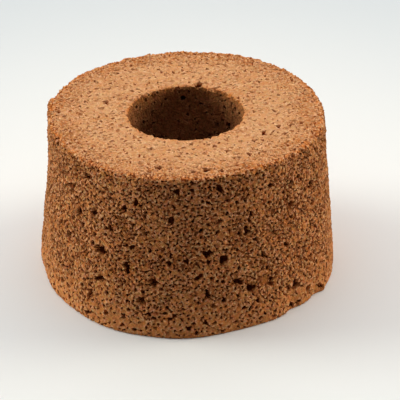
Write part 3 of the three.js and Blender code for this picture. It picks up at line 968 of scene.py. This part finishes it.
# %% [markdown]
# ## Four finishes
# The wall shows raw brown crumb, the top a paler skin that lay on the tin's bottom, the hole the crumb that
# touched the hot tube, and the underside the crust that faced the oven. The top's paleness is in part a real
# skin and in part painted light from above; the wall is darker in part as painted shade, and the hole darker
# as painted shade. One material with painted masks could hold all four, but separate ones are easier to
# follow: each places the group with its own colours and keeps its own shader.

# %% a finish made from the group
BUMP_DISTANCE = 0.25 * MM
DULL_SPECULAR = 0.05
# the curve that screens use: a straight start up to a limit, then a shifted power
SCREEN_LIMIT, SCREEN_SLOPE, SCREEN_SHIFT, SCREEN_POWER = 0.04045, 12.92, 0.055, 2.4


def srgb(red, green, blue):
    """A colour given as it looks on a screen, 0 to 255, as the linear numbers that shaders use."""
    linear = []
    for share in (red / 255, green / 255, blue / 255):
        curved = ((share + SCREEN_SHIFT) / (1 + SCREEN_SHIFT)) ** SCREEN_POWER
        linear.append(share / SCREEN_SLOPE if share <= SCREEN_LIMIT else curved)
    return (*linear, 1.0)


def sponge_material(name, bump_strength, values):
    material = bpy.data.materials.new(name)
    material.use_nodes = True
    tree = material.node_tree
    shader = tree.nodes["Principled BSDF"]
    shader.inputs["Specular IOR Level"].default_value = DULL_SPECULAR
    group = add(tree, "ShaderNodeGroup", node_tree=sponge)
    for socket, value in values.items():
        group.inputs[socket].default_value = value
    bump = add(tree, "ShaderNodeBump")
    bump.inputs["Strength"].default_value = bump_strength
    bump.inputs["Distance"].default_value = BUMP_DISTANCE
    tree.links.new(group.outputs["Height"], bump.inputs["Height"])
    tree.links.new(bump.outputs["Normal"], shader.inputs["Normal"])
    tree.links.new(group.outputs["Colour"], shader.inputs["Base Color"])
    tree.links.new(group.outputs["Roughness"], shader.inputs["Roughness"])
    return material


baked_orange = srgb(207, 119, 50)
print("orange of the baked edges:", [round(v, 3) for v in baked_orange])

# %% the four finishes
# in each finish, Hollow is the painted shade of bubbles and pin holes, and Crest the painted highlight of
# rims and crumbs
CRUMB_BUMP, SKIN_BUMP, UNDERSIDE_BUMP = 0.8, 0.45, 0.6
# the wall's colours are darker than the top's, in part a painted shade of the wall in open shade
open_crumb = sponge_material("open_crumb", CRUMB_BUMP, {
    "Light": srgb(187, 121, 71), "Dark": srgb(131, 71, 32), "Crest Highlight": srgb(198, 148, 108),
    "Hollow Shade": srgb(72, 26, 2), "Edge": baked_orange,
    "Edge Share": 0.65, "Warm Share": 0.25, "Pin Holes": 0.65, "Gaps": 0.35, "Mottle": 0.3,
})
# the top's colours are paler, in part a real skin and in part painted light from above
tan_skin = sponge_material("tan_skin", SKIN_BUMP, {
    "Light": srgb(211, 160, 116), "Dark": srgb(184, 111, 55), "Crest Highlight": srgb(224, 177, 137),
    "Hollow Shade": srgb(148, 62, 20), "Edge": baked_orange,
    "Edge Share": 0.75, "Warm Share": 0.15, "Pin Holes": 0.6, "Gaps": 0.45, "Mottle": 0.16,
})
baked_underside = sponge_material("baked_underside", UNDERSIDE_BUMP, {
    "Light": srgb(150, 92, 50), "Dark": srgb(112, 64, 34), "Crest Highlight": srgb(160, 104, 60),
    "Hollow Shade": srgb(80, 42, 22), "Edge": baked_orange,
    "Edge Share": 0.0, "Warm Share": 0.2, "Pin Holes": 0.5, "Gaps": 0.4, "Mottle": 0.3,
})
# the hole's colours are darker as painted shade
tube_crumb_painted_shade = sponge_material("tube_crumb_painted_shade", CRUMB_BUMP, {
    "Light": srgb(148, 93, 57), "Dark": srgb(105, 63, 35), "Crest Highlight": srgb(160, 108, 70),
    # in the hole the edge colour is lighter than the crumb: brown at the rim, and painted light where light
    # reaches in
    "Hollow Shade": srgb(66, 37, 18), "Edge": srgb(166, 102, 54),
    "Edge Share": 0.65, "Warm Share": 0.1, "Pin Holes": 0.6, "Gaps": 0.35, "Mottle": 0.3,
})
for material in (open_crumb, tan_skin, baked_underside, tube_crumb_painted_shade):
    mesh.materials.append(material)
print("finishes:", [material.name for material in mesh.materials])

# %% the cake takes the solid's place
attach(cake, "root")
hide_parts("chiffon_ring")
print(cake.name, "stands for the solid")

# %% [markdown]
# ## Floor and light
# The cake stands on a plain pale floor in soft daylight. The floor turns a little darker and bluer further
# off, so that it meets the pale room without a hard line. Most of the light comes from above and a little
# behind, so the top is bright and the hole is dark. Low light from both sides, warmer from the right,
# grazes the flanks and leaves the near wall in open shade. Wide suns are used, not lamps, because their
# light is as even far off as near by.

# %% the floor
FLOOR_HALF = 12.0
# metres from the cake's middle where the floor's colour starts and ends its change, and the two colours
FLOOR_FADE = (0.09, 0.26)
FLOOR_NEAR, FLOOR_FAR = srgb(232, 233, 236), srgb(205, 211, 219)
FLOOR_ROUGHNESS, FLOOR_SPECULAR = 0.9, 0.0
floor_mesh = bpy.data.meshes.new("floor")
corners = [(x * FLOOR_HALF, y * FLOOR_HALF, 0) for x, y in ((-1, -1), (1, -1), (1, 1), (-1, 1))]
floor_mesh.from_pydata(corners, [], [(0, 1, 2, 3)])
floor = bpy.data.objects.new("floor", floor_mesh)
bpy.context.scene.collection.objects.link(floor)
floor_paint = bpy.data.materials.new("pale_floor")
floor_paint.use_nodes = True
floor_tree = floor_paint.node_tree
floor_shader = floor_tree.nodes["Principled BSDF"]
from_cake = add(floor_tree, "ShaderNodeVectorMath", operation="LENGTH")
fill(floor_tree, from_cake.inputs[0], add(floor_tree, "ShaderNodeTexCoord").outputs["Object"])
far_off = remap(floor_tree, from_cake.outputs["Value"], *FLOOR_FADE)
fill(floor_tree, floor_shader.inputs["Base Color"], mix(floor_tree, far_off, FLOOR_NEAR, FLOOR_FAR))
floor_shader.inputs["Roughness"].default_value = FLOOR_ROUGHNESS
floor_shader.inputs["Specular IOR Level"].default_value = FLOOR_SPECULAR
floor_mesh.materials.append(floor_paint)
print("floor", 2 * FLOOR_HALF, "m across")

# %% the light
SKY_WHITE, LEFT_WHITE, RIGHT_WHITE = (1.0, 0.985, 0.96), (0.97, 1.0, 0.86), (1.0, 0.94, 0.74)
# name, colour, degrees round from the right, degrees up, degrees of spread, strength
SUNS = [
    ("sky", SKY_WHITE, 90, 70, 110, 2.5),
    ("left_window", LEFT_WHITE, 168, 10, 38, 3.85),
    ("right_window", RIGHT_WHITE, 12, 10, 38, 3.2),
]
ROOM_COLOUR, ROOM_STRENGTH, BACKDROP_STRENGTH = srgb(219, 223, 225), 0.03, 1.0


def soft_sun(name, colour, around, above, spread, strength):
    data = bpy.data.lights.new(name, "SUN")
    data.angle = math.radians(spread)
    data.energy = strength
    data.color = colour
    light = bpy.data.objects.new(name, data)
    level, turn = math.radians(above), math.radians(around)
    towards = Vector((math.cos(level) * math.cos(turn), math.cos(level) * math.sin(turn), math.sin(level)))
    light.rotation_euler = towards.to_track_quat("Z", "Y").to_euler()
    bpy.context.scene.collection.objects.link(light)


for sun in SUNS:
    soft_sun(*sun)

# the room is dim as a light, and pale as the backdrop that a low camera sees
world = bpy.data.worlds.new("soft_room")
world.use_nodes = True
room = world.node_tree.nodes["Background"]
room.inputs["Color"].default_value = ROOM_COLOUR
seen = add(world.node_tree, "ShaderNodeLightPath").outputs["Is Camera Ray"]
fill(world.node_tree, room.inputs["Strength"],
     remap(world.node_tree, seen, 0.0, 1.0, ROOM_STRENGTH, BACKDROP_STRENGTH))
bpy.context.scene.world = world
bpy.context.scene.view_settings.view_transform = "Standard"
print("suns:", [sun[0] for sun in SUNS])

# %% [markdown]
# ## Finish

# %% finish
bpy.context.view_layer.update()
